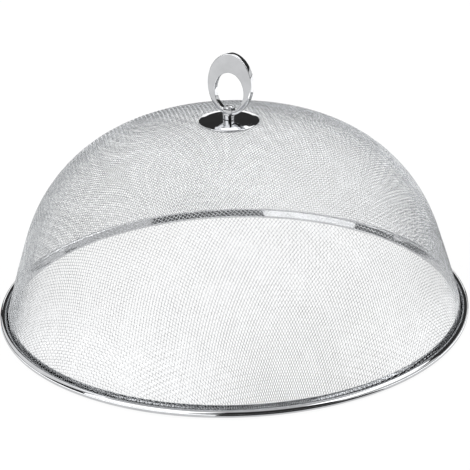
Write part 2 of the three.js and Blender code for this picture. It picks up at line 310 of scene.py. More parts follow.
class Bench:
    """Makes meshes into named pieces of the object, each with its finish."""

    def __init__(self) -> None:
        """Builds the finishes."""
        self.finishes = {
            Look.POLISHED: PolishedSteel().build(),
            Look.WOVEN: DrawnWire().build(),
            Look.PLAIN: RolledSteel().build(),
        }

    def mesh(self, name: str, points: Sequence[Point], faces: Iterable[Sequence[int]]) -> bpy.types.Object:
        """Makes an object of points in millimetres and faces.

        Args:
            name: The object's name.
            points: The corners, in millimetres.
            faces: The corner numbers of each face, anticlockwise from outside.

        Returns:
            The object, linked to the scene.
        """
        data = bpy.data.meshes.new(name)
        data.from_pydata([(x * MM, y * MM, z * MM) for x, y, z in points], [], list(faces))
        data.update()
        return add_object(name, data)

    def skinned(
        self, name: str, rings: Sequence[Sequence[Point]], closed: bool = False,
    ) -> bpy.types.Object:
        """Makes a solid of rings of points, each joined to the next.

        Args:
            name: The object's name.
            rings: The rings, all turning the same way. A ring of one point is a pole.
            closed: Whether the last ring joins the first. Otherwise a ring at an end gets a face.

        Returns:
            The closed solid.
        """
        around = max(len(ring) for ring in rings)
        points: list[Point] = []
        numbers: list[list[int]] = []
        for ring in rings:
            start = len(points)
            numbers.append([start + step % len(ring) for step in range(around)])
            points.extend(ring)
        ends = [] if closed else [numbers[0][::-1], numbers[-1]]
        faces = [end for end in ends if len(set(end)) > 2]
        for ring, above in zip(numbers, numbers[1:] + (numbers[:1] if closed else [])):
            for step in range(around):
                ahead = (step + 1) % around
                corners = [ring[step], ring[ahead], above[ahead], above[step]]
                kept = [c for place, c in enumerate(corners) if c != corners[place - 1]]
                if len(kept) > 2:
                    faces.append(kept)
        return self.mesh(name, points, faces)

    def turned(self, name: str, section: Section, segments: int) -> bpy.types.Object:
        """Turns a closed section about the Z axis.

        Args:
            name: The object's name.
            section: [radius, height] pairs, anticlockwise. Pairs on the axis become poles.
            segments: The faces round the axis.

        Returns:
            The closed solid.
        """
        rings = [circle(radius, height, segments if radius else 1) for radius, height in section]
        return self.skinned(name, rings, closed=True)

    def block(self, size: Point, centre: Point) -> bpy.types.Object:
        """Makes a box to cut with.

        Args:
            size: Its width, depth and height.
            centre: Its middle.

        Returns:
            The box.
        """
        signs = [[(x, y, z) for x, y in SQUARE] for z in (-1, 1)]
        rings = [[tuple(middle + sign * side / 2 for middle, sign, side in zip(centre, corner, size))
                  for corner in ring] for ring in signs]
        return self.skinned("cutter", rings)

    def cut(self, solid: bpy.types.Object, cutter: bpy.types.Object, how: str = "DIFFERENCE") -> None:
        """Cuts a solid with another, which is used up.

        Args:
            solid: The solid that changes.
            cutter: The solid that cuts.
            how: DIFFERENCE, INTERSECT or UNION.
        """
        modifier = solid.modifiers.new("cut", "BOOLEAN")
        modifier.operation = how
        modifier.solver = "EXACT"
        modifier.object = cutter
        self.settle(solid)
        bpy.data.objects.remove(cutter)

    def bevel(self, solid: bpy.types.Object, width: float, segments: int = 2) -> None:
        """Breaks the sharp edges of a solid.

        Args:
            solid: The solid that changes.
            width: The bevel's width.
            segments: The faces across the bevel.
        """
        modifier = solid.modifiers.new("edges", "BEVEL")
        modifier.width = width * MM
        modifier.segments = segments
        modifier.limit_method = "ANGLE"
        modifier.angle_limit = math.radians(35)
        modifier.miter_outer = "MITER_ARC"
        self.settle(solid)

    @staticmethod
    def settle(solid: bpy.types.Object) -> None:
        """Puts the result of an object's modifiers into its mesh, and removes them.

        Args:
            solid: The object.
        """
        graph = bpy.context.evaluated_depsgraph_get()
        graph.update()
        result = bpy.data.meshes.new_from_object(solid.evaluated_get(graph), depsgraph=graph)
        solid.modifiers.clear()
        solid.data = result

    def dress(
        self,
        piece: bpy.types.Object,
        look: Look,
        node: str,
        smooth_below: Optional[float] = 30.0,
    ) -> bpy.types.Object:
        """Gives a piece its finish and its place in the object.

        Args:
            piece: The finished mesh.
            look: Its finish.
            node: The node of the frame that it stands for.
            smooth_below: Edges flatter than this many degrees are shaded smooth. With None the
                shading stays.

        Returns:
            The same piece.
        """
        if smooth_below is not None:
            piece.data.shade_smooth()
            piece.data.set_sharp_from_angle(angle=math.radians(smooth_below))
        piece.data.materials.clear()
        piece.data.materials.append(self.finishes[look])
        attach(piece, BODY)
        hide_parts(node)
        triangles = sum(len(face.vertices) - 2 for face in piece.data.polygons)
        LOG.info("%s: %d triangles, %s", piece.name, triangles, look.value)
        return piece


@dataclass(frozen=True)
class Arc:
    """One arc of the dome's profile, up to the angle from the axis where it ends."""

    radius: float
    r: float
    z: float
    end: float


@dataclass
class Profile:
    """The middle surface of the cloth: three arcs, tangent to one another, about the Z axis."""

    height: float = 149.0
    crown_radius: float = 266.0
    crown_angle: float = 16.0
    shoulder_radius: float = 119.0
    shoulder_angle: float = 71.6
    skirt_radius: float = 1250.0
    arcs: list[Arc] = field(init=False)

    def __post_init__(self) -> None:
        """Works out the centres of the arcs."""
        crown = Arc(self.crown_radius, 0.0, self.height - self.crown_radius,
                    math.radians(self.crown_angle))
        shoulder = self._after(crown, self.shoulder_radius, math.radians(self.shoulder_angle))
        skirt = self._after(shoulder, self.skirt_radius, math.pi / 2)
        self.arcs = [crown, shoulder, skirt]

    @staticmethod
    def _after(arc: Arc, radius: float, end: float) -> Arc:
        """The arc of another radius that goes on tangent from where an arc ends."""
        step = arc.radius - radius
        return Arc(radius, arc.r + step * math.sin(arc.end), arc.z + step * math.cos(arc.end), end)

    def _beside(self, r: float, z: float) -> Arc:
        """Finds the arc that a point beside the dome belongs to.

        Args:
            r: The point's distance from the axis.
            z: Its height.

        Returns:
            The arc.
        """
        for arc in self.arcs:
            if math.atan2(r - arc.r, z - arc.z) <= arc.end:
                return arc
        return self.arcs[-1]

    def stands_off(self, point: Vector) -> tuple[float, Vector]:
        """Measures a point against the surface.

        Args:
            point: A point beside the dome.

        Returns:
            How far outside the surface it is, and the outward direction there.
        """
        r = math.hypot(point.x, point.y)
        arc = self._beside(r, point.z)
        across, up = r - arc.r, point.z - arc.z
        distance = math.hypot(across, up)
        radial = across / distance / r
        return distance - arc.radius, Vector((point.x * radial, point.y * radial, up / distance))

    def radius_at(self, height: float) -> float:
        """Works out the surface's radius at a height.

        Args:
            height: A height on the skirt or the shoulder.

        Returns:
            The radius.
        """
        joint = self.arcs[1].z + self.arcs[1].radius * math.cos(self.arcs[1].end)
        arc = self.arcs[2] if height < joint else self.arcs[1]
        return arc.r + math.sqrt(arc.radius ** 2 - (height - arc.z) ** 2)

    def over_crown(self, radius: float, offset: float) -> float:
        """The height, over the crown, of a surface a distance outside this one."""
        return self.arcs[0].z + math.sqrt((self.crown_radius + offset) ** 2 - radius ** 2)


class Family(Enum):
    """The two families of wires in the cloth."""

    WARP = 0
    WEFT = 1


@dataclass
class FormedCloth:
    """Plain woven wire cloth, formed over the dome without stretching its wires.

    The cloth is a net whose sides keep their length. Each next crossing lies one spacing from
    both neighbours and on the surface, so the square meshes shear into diamonds between the two
    straight wire directions.
    """

    profile: Profile
    bench: Bench
    wire_diameter: float = 0.35
    warp_spacing: float = 2.2
    weft_spacing: float = 2.2
    weave_angle: float = -10.0
    hem_height: float = 1.6
    hole_radius: float = 2.6
    sides: int = 5
    bend_below: float = 36.0
    shares: int = 2
    most_wires: int = 200
    most_tries: int = 12
    tolerance: float = 1e-7
    quarter: dict[tuple[int, int], Vector] = field(default_factory=dict)

    def _settle(self, middle: Vector, ahead: Vector, lift: Vector, reach: float) -> Vector:
        """Turns a point about a middle until it lies on the surface.

        Args:
            middle: The centre of the circle that the point moves on.
            ahead: The direction of the circle's foremost point.
            lift: The direction square to it, roughly away from the surface.
            reach: The circle's radius.

        Returns:
            The point on the surface.
        """
        angle = 0.0
        for _ in range(self.most_tries):
            point = middle + reach * (math.cos(angle) * ahead + math.sin(angle) * lift)
            distance, outward = self.profile.stands_off(point)
            if abs(distance) < self.tolerance:
                break
            slope = reach * outward.dot(math.cos(angle) * lift - math.sin(angle) * ahead)
            angle -= distance / slope
        return point

    def _beside_straight(self, behind: Vector, along: Vector, spacing: float) -> Vector:
        """Finds the next crossing along a straight wire direction, in the wire's own plane.

        Args:
            behind: The crossing before it.
            along: The wire's direction, level.
            spacing: The distance between the crossings.

        Returns:
            The crossing.
        """
        outward = self.profile.stands_off(behind)[1]
        lift = (along * outward.dot(along) + Vector((0, 0, outward.z))).normalized()
        ahead = along * lift.z - Vector((0, 0, lift.dot(along)))
        return self._settle(behind, ahead, lift, spacing)

    def _across(self, left: Vector, right: Vector, behind: Vector) -> Vector:
        """The crossing one spacing from both neighbours, across from the fourth corner.

        Args:
            left: The neighbour along the warp.
            right: The neighbour along the weft.
            behind: The fourth corner of the mesh.

        Returns:
            The crossing.
        """
        between = right - left
        gap = between.length
        share = (self.warp_spacing ** 2 - self.weft_spacing ** 2 + gap ** 2) / (2 * gap)
        middle = left + between * (share / gap)
        reach = math.sqrt(self.warp_spacing ** 2 - share ** 2)
        lift = self.profile.stands_off(middle)[1]
        lift = (lift - between * (lift.dot(between) / gap ** 2)).normalized()
        ahead = lift.cross(between).normalized()
        if ahead.dot(middle - behind) < 0:
            ahead = -ahead
        return self._settle(middle, ahead, lift, reach)

    def lay_out(self) -> None:
        """Works out one quarter of the net, whose first mesh has its middle on the axis."""
        half_warp, half_weft = self.warp_spacing / 2, self.weft_spacing / 2
        floor = self.hem_height - 2 * max(self.warp_spacing, self.weft_spacing)
        first = Vector((half_warp, half_weft, 0.0))
        first.z = self.profile.over_crown(math.hypot(half_warp, half_weft), 0.0)
        net = {(0, 0): first}
        for along, spacing, key in (
            (Vector((1, 0, 0)), self.warp_spacing, lambda n: (n, 0)),
            (Vector((0, 1, 0)), self.weft_spacing, lambda n: (0, n)),
        ):
            for place in range(1, self.most_wires):
                net[key(place)] = self._beside_straight(net[key(place - 1)], along, spacing)
                if net[key(place)].z < floor:
                    break
        reach = max(max(key) for key in net) + 1
        for j in range(1, reach):
            for i in range(1, reach):
                left, right = net.get((i - 1, j)), net.get((i, j - 1))
                if left is None or right is None or min(left.z, right.z) < floor:
                    continue
                net[(i, j)] = self._across(left, right, net[(i - 1, j - 1)])
        self.quarter = net

    def crossing(self, i: int, j: int) -> Optional[Vector]:
        """Finds a crossing, mirrored from the quarter.

        Args:
            i: Its number along the warp. The first ones beside the axis are -1 and 0.
            j: Its number along the weft.

        Returns:
            Its place, or None where the net has ended.
        """
        found = self.quarter.get((i if i >= 0 else -1 - i, j if j >= 0 else -1 - j))
        if found is None:
            return None
        return Vector((found.x if i >= 0 else -found.x, found.y if j >= 0 else -found.y, found.z))

    def wires(self, family: Family) -> list[Wire]:
        """Follows the wires of one family over and under the other one.

        Args:
            family: The warp or the weft.

        Returns:
            Each wire's points with their lift, which is 1 where it passes over and -1 under.
        """
        reach = max(max(key) for key in self.quarter) + 1
        span = range(-reach, reach)
        found = []
        for number in span:
            places = [(step, number) if family is Family.WARP else (number, step) for step in span]
            found.extend(self._trimmed([
                (point, 1.0 if (i + j) % 2 == family.value else -1.0)
                for i, j in places if (point := self.crossing(i, j)) is not None]))
        return found

    def _trimmed(self, wire: Wire) -> list[Wire]:
        """Cuts a wire at the hem and at the hole in the crown.

        Args:
            wire: The points of the wire with their lift. Both ends lie below the hem.

        Returns:
            The stretches that are left.
        """
        def inside(point: Vector) -> float:
            """Above zero where the cloth is kept."""
            return min(point.z - self.hem_height, math.hypot(point.x, point.y) - self.hole_radius)

        stretches: list[Wire] = []
        stretch: Wire = []
        for (here, lift), (there, next_lift) in zip(wire, wire[1:]):
            start, end = inside(here), inside(there)
            if start > 0:
                stretch.append((here, lift))
            if (start > 0) != (end > 0):
                share = start / (start - end)
                stretch.append((here.lerp(there, share), lift + (next_lift - lift) * share))
                if start > 0:
                    stretches.append(stretch)
                    stretch = []
        return [part for part in stretches if len(part) > 2]

    def _tree(self, material: bpy.types.Material) -> bpy.types.NodeTree:
        """Builds the nodes that make wires of lines.

        Args:
            material: The wires' finish.

        Returns:
            The node tree, with inputs for the wire's diameter and its sides. It reads the
            attributes outward and lift, and shades the wires smooth around but not along.
        """
        tree = bpy.data.node_groups.new("woven_wires", "GeometryNodeTree")
        for name, way, kind in (
            ("Geometry", "INPUT", "NodeSocketGeometry"), ("Wire Diameter", "INPUT", "NodeSocketFloat"),
            ("Wire Sides", "INPUT", "NodeSocketInt"), ("Geometry", "OUTPUT", "NodeSocketGeometry"),
        ):
            tree.interface.new_socket(name, in_out=way, socket_type=kind)
        given = add_node(tree, "NodeGroupInput")
        radius = add_node(
            tree, "ShaderNodeMath", {"operation": "MULTIPLY", 1: 0.5},
            {0: given.outputs["Wire Diameter"]}).outputs[0]
        outward = add_node(
            tree, "GeometryNodeInputNamedAttribute", {"data_type": "FLOAT_VECTOR", "Name": "outward"})
        lift = add_node(
            tree, "GeometryNodeInputNamedAttribute", {"data_type": "FLOAT", "Name": "lift"})
        rise = add_node(
            tree, "ShaderNodeMath", {"operation": "MULTIPLY"},
            {0: lift.outputs["Attribute"], 1: radius}).outputs[0]
        shift = add_node(
            tree, "ShaderNodeVectorMath", {"operation": "SCALE"},
            {0: outward.outputs["Attribute"], "Scale": rise}).outputs[0]
        woven = add_node(
            tree, "GeometryNodeSetPosition", {},
            {"Geometry": given.outputs["Geometry"], "Offset": shift})
        line = add_node(tree, "GeometryNodeMeshToCurve", {}, {"Mesh": woven.outputs[0]})
        outline = add_node(
            tree, "GeometryNodeCurvePrimitiveCircle", {},
            {"Resolution": given.outputs["Wire Sides"], "Radius": radius})
        wires = add_node(
            tree, "GeometryNodeCurveToMesh", {"Fill Caps": True},
            {"Curve": line.outputs[0], "Profile Curve": outline.outputs[0]})
        smooth = add_node(tree, "GeometryNodeSetShadeSmooth", {}, {"Geometry": wires.outputs[0]})
        angle = add_node(tree, "GeometryNodeInputMeshEdgeAngle")
        bend = add_node(
            tree, "ShaderNodeMath", {"operation": "LESS_THAN", 1: math.radians(self.bend_below)},
            {0: angle.outputs["Unsigned Angle"]})
        crisp = add_node(
            tree, "GeometryNodeSetShadeSmooth", {"domain": "EDGE", "Shade Smooth": False},
            {"Geometry": smooth.outputs[0], "Selection": bend.outputs[0]})
        real = add_node(
            tree, "GeometryNodeRealizeInstances", {}, {"Geometry": crisp.outputs[0]})
        finished = add_node(
            tree, "GeometryNodeSetMaterial", {"Material": material}, {"Geometry": real.outputs[0]})
        add_node(tree, "NodeGroupOutput", {}, {"Geometry": finished.outputs[0]})
        return tree

    def _lines(self, name: str, wires: list[Wire]) -> bpy.types.Object:
        """Makes an object of the wires' middle lines.

        Args:
            name: The object's name.
            wires: The wires' points with their lift.

        Returns:
            An object of edges, with the attributes outward and lift.
        """
        turn = Matrix.Rotation(math.radians(self.weave_angle), 3, "Z")
        points, edges, outwards, lifts = [], [], [], []
        for wire in wires:
            start = len(points)
            for place, lift in wire:
                turned = turn @ place
                points.append(turned * MM)
                outwards.extend(self.profile.stands_off(turned)[1])
                lifts.append(lift)
            edges.extend((number, number + 1) for number in range(start, len(points) - 1))
        data = bpy.data.meshes.new(name)
        data.from_pydata(points, edges, [])
        data.attributes.new("outward", "FLOAT_VECTOR", "POINT").data.foreach_set("vector", outwards)
        data.attributes.new("lift", "FLOAT", "POINT").data.foreach_set("value", lifts)
        return add_object(name, data)

    def build(self) -> None:
        """Builds and dresses the cloth, each family of wires in shares of about equal length."""
        self.lay_out()
        tree = self._tree(self.bench.finishes[Look.WOVEN])
        sockets = {item.name: item.identifier for item in tree.interface.items_tree
                   if item.in_out == "INPUT"}
        for family in Family:
            wires = self.wires(family)
            total = sum(len(wire) for wire in wires)
            shares: list[list[Wire]] = [[] for _ in range(self.shares)]
            laid = 0
            for wire in wires:
                shares[laid * self.shares // total].append(wire)
                laid += len(wire)
            for number, share in enumerate(shares, 1):
                piece = self._lines(f"cloth_{family.name.lower()}_{number}", share)
                modifier = piece.modifiers.new("wires", "NODES")
                modifier.node_group = tree
                modifier[sockets["Wire Diameter"]] = self.wire_diameter * MM
                modifier[sockets["Wire Sides"]] = self.sides
                self.bench.settle(piece)
                self.bench.dress(piece, Look.WOVEN, "mesh_dome", smooth_below=None)


def arc_points(centre: tuple[float, float], radius: float, start: float, end: float, steps: int) -> Section:
    """Points along an arc in a section.

    Args:
        centre: The arc's centre.
        radius: Its radius.
        start: The angle of the first point from the outward direction, in degrees.
        end: The angle of the last point, in degrees.
        steps: The spaces between points.

    Returns:
        The points.
    """
    found = []
    for step in range(steps + 1):
        angle = math.radians(start + (end - start) * step / steps)
        found.append((centre[0] + radius * math.cos(angle), centre[1] + radius * math.sin(angle)))
    return found


@dataclass
class RolledRim:
    """One strip of sheet, rolled to a hollow bead that clasps the cloth against an inner lip.

    Angles are in degrees, and those of the bead start from the outward direction.
    """

    profile: Profile
    bench: Bench
    wire_diameter: float
    sheet: float = 0.5
    lip_height: float = 6.5
    lip_lean: float = 22.0
    bead_diameter: float = 5.6
    corner_radius: float = 1.6
    corner_steps: int = 12
    bead_centre: float = 174.69
    bead_end: float = 162.0
    bead_steps: int = 44
    clearance: float = 0.08
    segments: int = 360

    def _middle_line(self) -> Section:
        """Works out the middle line of the strip.

        Returns:
            Its points, from the inner lip down and round the bead to the cloth.
        """
        clear = self.wire_diameter + self.sheet / 2 + self.clearance
        lean = math.radians(self.lip_lean)
        top = (self.profile.radius_at(self.lip_height) - clear, self.lip_height)
        height = self.sheet / 2 + self.corner_radius
        foot = height + self.corner_radius * math.sin(lean)
        drop = (self.lip_height - foot) * math.tan(lean)
        corner = (top[0] - drop + self.corner_radius * math.cos(lean), height)
        bead = (self.bead_centre, self.bead_diameter / 2)
        bead_radius = (self.bead_diameter - self.sheet) / 2
        return ([top]
                + arc_points(corner, self.corner_radius, 180 - self.lip_lean, 270, self.corner_steps)
                + arc_points(bead, bead_radius, -90, self.bead_end, self.bead_steps))

    def _section(self) -> Section:
        """Sets the strip's middle line off to both sides.

        Returns:
            The strip's closed section.
        """
        line = self._middle_line()
        normals = []
        for place, point in enumerate(line):
            before, after = line[max(place - 1, 0)], line[min(place + 1, len(line) - 1)]
            across = Vector((before[1] - after[1], after[0] - before[0])).normalized()
            normals.append((point, across))
        half = self.sheet / 2
        outside = [(p[0] - half * n.x, p[1] - half * n.y) for p, n in normals]
        inside = [(p[0] + half * n.x, p[1] + half * n.y) for p, n in reversed(normals)]
        return outside + inside

    def build(self) -> None:
        """Builds and dresses the rim."""
        rim = self.bench.turned("rolled_rim", self._section(), self.segments)
        self.bench.dress(rim, Look.POLISHED, "rim_band", smooth_below=40.0)


@dataclass(frozen=True)
class Plate:
    """A round plate that follows the crown, a distance outside the cloth's middle surface.

    Its border may bend down towards the rounded edge, whose arc ends at an angle from level.
    """

    radius: float
    distance: float
    sheet: float
    edge: float
    edge_end: float = 87.0
    border: float = 1.0
    border_fall: float = 0.0


@dataclass
class CrownPlates:
    """The polished cover plate on the crown and the plain backing plate under it."""

    profile: Profile
    bench: Bench
    cover: Plate = Plate(22.5, 0.75, 1.2, 0.55, 64.0, 3.6, 0.38)
    backing: Plate = Plate(18.0, -2.15, 1.0, 0.3)
    bore_radius: float = 2.3
    lower_edge: float = 0.15
    steps: int = 8
    segments: int = 160

    def _section(self, plate: Plate) -> Section:
        """Works out a plate's section.

        Args:
            plate: The plate.

        Returns:
            The section, anticlockwise.
        """
        over, bore, radius = self.profile.over_crown, self.bore_radius, plate.radius
        end = radius - plate.edge
        start = end - plate.border

        def upper_face(r: float) -> float:
            """The height of the upper face."""
            fall = plate.border_fall * max(0.0, (r - start) / plate.border)
            return over(r, plate.distance + plate.sheet) - fall

        across = [bore + (radius - bore) * k / self.steps for k in range(self.steps)]
        border = [start + plate.border * k / self.steps for k in range(self.steps)]
        lower = [(r, over(r, plate.distance)) for r in across]
        lower.append((radius - self.lower_edge, over(radius, plate.distance)))
        lower.append((radius, over(radius, plate.distance) + self.lower_edge))
        corner = (end, upper_face(end) - plate.edge)
        rounded = arc_points(corner, plate.edge, 0, plate.edge_end, self.steps)
        inwards = reversed([r for r in across if r < start] + border)
        return lower + rounded + [(r, upper_face(r)) for r in inwards]

    def build(self) -> None:
        """Builds and dresses both plates."""
        for name, plate, look, node in (
            ("cover_plate", self.cover, Look.POLISHED, "top_plate"),
            ("backing_disc", self.backing, Look.PLAIN, "backing_plate"),
        ):
            made = self.bench.turned(name, self._section(plate), self.segments)
            self.bench.dress(made, look, node, smooth_below=40.0)


@dataclass
class Handle:
    """The ring, its forked post and the screw that holds both, with its washer and nut."""

    bench: Bench
    post_foot: float = 151.24
    ring_width: float = 35.2
    ring_height: float = 46.8
    ring_thickness: float = 5.0
    ring_rise: float = 3.2
    ring_edge: float = 0.5
    ring_lean: float = 4.5
    ring_segments: int = 160
    edge_steps: int = 4
    eye_width: float = 23.0
    eye_height: float = 29.2
    eye_floor: float = 3.1
    post_diameter: float = 9.2
    post_shoulder: float = 4.5
    post_edge: float = 0.22
    fork_width: float = 8.0
    clearance: float = 0.3
    screw_diameter: float = 4.0
    screw_point: float = 140.82
    screw_segments: int = 48
    bore_segments: int = 40
    head_diameter: float = 7.2
    head_height: float = 2.3
    head_edge: float = 0.12
    head_wall: float = 0.8
    head_curve: float = 0.8
    head_steps: int = 6
    recess_turn: float = 28.0
    recess_depth: float = 1.45
    recess_floor: tuple[float, float] = (0.9, 0.42)
    recess_mouth: tuple[float, float] = (2.9, 0.68)
    thread_pitch: float = 0.7
    thread_depth: float = 0.2835
    thread_over_washer: float = 4.0
    thread_end: float = 0.2
    thread_run_in: float = 0.6
    thread_taper: float = 0.35
    crest_slope: float = 2.4
    crest_gain: float = 1.15
    rings_per_turn: int = 8
    washer_top: float = 146.52
    washer_height: float = 1.0
    washer_radius: float = 3.8
    washer_edge: float = 0.12
    washer_slit: float = 0.13
    washer_slant: float = 0.06
    washer_steps: int = 60
    nut_top: float = 145.22
    nut_flats: float = 7.0
    nut_height: float = 3.2
    nut_face: float = 0.97
    nut_fall: float = 0.9
    nut_spare: float = 0.2
    nut_play: float = 0.06
    nut_sink: float = 0.35
    cut_past: float = 1.0
    cutter_segments: int = 72

    @property
    def ring_foot(self) -> float:
        """The height of the ring's lowest point."""
        return self.post_foot + self.ring_rise

    @property
    def head_foot(self) -> float:
        """The height of the screw head's underside, which rests on the curve of the eye.

        Returns:
            The height at the head's edge on the leaning ring, with a clearance.
        """
        curve = 1 - math.sqrt(1 - (self.head_diameter / self.eye_width) ** 2)
        lean = self.head_diameter / 2 * math.tan(math.radians(self.ring_lean))
        return self.ring_foot + self.eye_floor + self.eye_height / 2 * curve + lean + self.clearance

    @staticmethod
    def _oval(
        width: float, height: float, foot: float, inward: float, angle: float,
    ) -> tuple[float, float]:
        """A point on an oval, moved square to it.

        Args:
            width: The oval's width.
            height: Its height.
            foot: The height of its lowest point.
            inward: How far the point moves towards the middle.
            angle: The angle of the point.

        Returns:
            The point's X and Z.
        """
        a, b = width / 2, height / 2
        across = Vector((math.cos(angle) / a, math.sin(angle) / b)).normalized()
        return (a * math.cos(angle) - inward * across.x,
                foot + b + b * math.sin(angle) - inward * across.y)

    def _bore(self, low: float, high: float) -> bpy.types.Object:
        """Makes a round cutter for the screw's way.

        Args:
            low: The lower end of the bore.
            high: Its upper end. The cutter goes on past both.

        Returns:
            The cutter.
        """
        radius = self.screw_diameter / 2 + self.clearance
        low, high = low - self.cut_past, high + self.cut_past
        section = [(0, low), (radius, low), (radius, high), (0, high)]
        return self.bench.turned("cutter", section, self.bore_segments)

    def _ring(self) -> None:
        """Builds the flat oval ring with its low oval eye."""
        edge, half = self.ring_edge, self.ring_thickness / 2
        arc = [math.radians(90 * step / self.edge_steps) for step in range(self.edge_steps + 1)]
        corner = [(edge * (1 - math.cos(a)), edge * (1 - math.sin(a))) for a in arc]
        wall = ([(inward, drop - half) for inward, drop in reversed(corner)]
                + [(inward, half - drop) for inward, drop in corner])
        outer = (self.ring_width, self.ring_height, self.ring_foot)
        eye = (self.eye_width, self.eye_height, self.ring_foot + self.eye_floor)
        lean = Matrix.Rotation(math.radians(self.ring_lean), 3, "Y")
        foot = Vector((0, 0, self.post_foot))
        rings = []
        for step in range(self.ring_segments):
            angle = 2 * math.pi * step / self.ring_segments
            loop = [(self._oval(*outer, inward, angle), y) for inward, y in wall]
            loop += [(self._oval(*eye, -inward, angle), y) for inward, y in reversed(wall)]
            rings.append([tuple(foot + lean @ (Vector((x, y, z)) - foot)) for (x, z), y in loop])
        ring = self.bench.skinned("ring_handle", rings, closed=True)
        self.bench.cut(ring, self._bore(self.ring_foot, self.ring_foot + self.eye_floor))
        self.bench.dress(ring, Look.POLISHED, "handle_ring", smooth_below=24.0)

    def _post(self) -> None:
        """Builds the round stem with its fork."""
        radius = self.post_diameter / 2
        foot, top = self.post_foot, self.head_foot - self.clearance
        section = [(0, foot), (radius, foot), (radius, top), (0, top)]
        post = self.bench.turned("forked_post", section, self.cutter_segments)
        slot_floor = self.ring_foot - self.clearance
        gap = self.ring_thickness + 2 * self.clearance
        wide, tall = 3 * radius, 4 * radius
        self.bench.cut(post, self.bench.block((2 * wide, gap, tall), (0, 0, slot_floor + tall / 2)))
        for sign in (1, -1):
            middle = (0, sign * (self.fork_width / 2 + wide / 2), foot + self.post_shoulder + tall / 2)
            self.bench.cut(post, self.bench.block((2 * wide, wide, tall), middle))
        self.bench.cut(post, self._bore(foot, top))
        self.bench.bevel(post, self.post_edge, 3)
        self.bench.dress(post, Look.POLISHED, "handle_post", smooth_below=30.0)

    def _thread(self, top: float) -> list[list[Point]]:
        """The rings of the screw's thread, from its point upwards.

        Args:
            top: The height of the last ring.

        Returns:
            Each ring's points. The crest winds up the rod and runs in at the point.
        """
        root = self.screw_diameter / 2 - self.thread_depth
        length = top - self.screw_point
        steps = int(length / (self.thread_pitch / self.rings_per_turn))
        rings = []
        for number in range(steps + 1):
            height = self.screw_point + length * number / steps
            run_in = min(1.0, (height - self.screw_point) / self.thread_run_in)
            ring = []
            for step in range(self.screw_segments):
                phase = (height / self.thread_pitch - step / self.screw_segments) % 1.0
                crest = min(max(0.0, 1 - abs(phase - 0.5) * self.crest_slope) * self.crest_gain, 1.0)
                radius = root - (1 - run_in) * self.thread_taper + self.thread_depth * crest * run_in
                angle = 2 * math.pi * step / self.screw_segments
                ring.append((radius * math.cos(angle), radius * math.sin(angle), height))
            rings.append(ring)
        return rings

    def _screw(self) -> None:
        """Builds the pan head screw with its cross recess and its thread."""
        shank, head = self.screw_diameter / 2, self.head_diameter / 2
        foot, wall = self.head_foot, self.head_foot + self.head_wall
        top = foot + self.head_height
        thread_top = self.washer_top + self.thread_over_washer
        section = [(shank, thread_top + self.thread_end), (shank, foot), (head - self.head_edge, foot),
                   (head, foot + self.head_edge), (head, wall)]
        for step in range(1, self.head_steps):
            angle = math.pi / 2 * step / self.head_steps
            section.append((head * math.cos(angle) ** self.head_curve,
                            wall + (top - wall) * math.sin(angle)))
        rings = [circle(radius, height, self.screw_segments) for radius, height in section]
        poles = [[(0.0, 0.0, self.screw_point)], [(0.0, 0.0, top)]]
        rings = poles[:1] + self._thread(thread_top) + rings + poles[1:]
        screw = self.bench.skinned("handle_fastener", rings)
        self.bench.cut(screw, self._recess(top))
        self.bench.dress(screw, Look.POLISHED, "handle_screw", smooth_below=35.0)

    def _recess(self, top: float) -> bpy.types.Object:
        """Makes the cutter for the cross recess: two tapered blades, crossed.

        Args:
            top: The height of the head's top.

        Returns:
            The cutter.
        """
        levels = ((top - self.recess_depth, *self.recess_floor), (top + self.cut_past, *self.recess_mouth))
        blades = []
        for turn in (self.recess_turn, self.recess_turn + 90):
            spin = Matrix.Rotation(math.radians(turn), 3, "Z")
            rings = [[tuple(spin @ Vector((x * length, y * width, height))) for x, y in SQUARE]
                     for height, length, width in levels]
            blades.append(self.bench.skinned("cutter", rings))
        self.bench.cut(blades[0], blades[1], "UNION")
        return blades[0]

    def _washer(self) -> None:
        """Builds the spring washer, a ring with a slanted slit."""
        inner, outer = self.screw_diameter / 2 + self.clearance, self.washer_radius
        low, high = self.washer_top - self.washer_height, self.washer_top
        edge, turn = self.washer_edge, 2 * math.pi - 2 * self.washer_slit
        section = [(inner, high - edge), (inner + edge, high), (outer - edge, high), (outer, high - edge),
                   (outer, low + edge), (outer - edge, low), (inner + edge, low), (inner, low + edge)]
        rings = []
        for step in range(self.washer_steps + 1):
            ring = []
            for radius, height in section:
                lean = math.copysign(self.washer_slant, height - (low + high) / 2)
                angle = self.washer_slit + lean + turn * step / self.washer_steps
                ring.append((radius * math.cos(angle), radius * math.sin(angle), height))
            rings.append(ring)
        washer = self.bench.skinned("spring_washer", rings)
        self.bench.dress(washer, Look.PLAIN, "lock_washer", smooth_below=25.0)

    def _nut(self) -> None:
        """Builds the hexagon nut, with its corners turned off."""
        flat, corner = self.nut_flats / 2, self.nut_flats / math.sqrt(3)
        low, high, past = self.nut_top - self.nut_height, self.nut_top, self.cut_past
        corners = [math.radians(60 * k + 90) for k in range(6)]
        nut = self.bench.skinned("clamp_nut", [
            [(corner * math.cos(angle), corner * math.sin(angle), z) for angle in corners]
            for z in (low, high)])
        face, wide, fall = flat * self.nut_face, corner + self.nut_spare, (corner - flat) * self.nut_fall
        cone = [(0, low), (face, low), (wide, low + fall), (wide, high - fall), (face, high), (0, high)]
        self.bench.cut(nut, self.bench.turned("cutter", cone, self.cutter_segments), "INTERSECT")
        bore, sink = self.screw_diameter / 2 + self.nut_play, self.nut_sink
        mouth = [(0, low - past), (bore + sink + past, low - past), (bore, low + sink),
                 (bore, high - sink), (bore + sink + past, high + past), (0, high + past)]
        self.bench.cut(nut, self.bench.turned("cutter", mouth, self.screw_segments))
        self.bench.dress(nut, Look.PLAIN, "hex_nut", smooth_below=25.0)

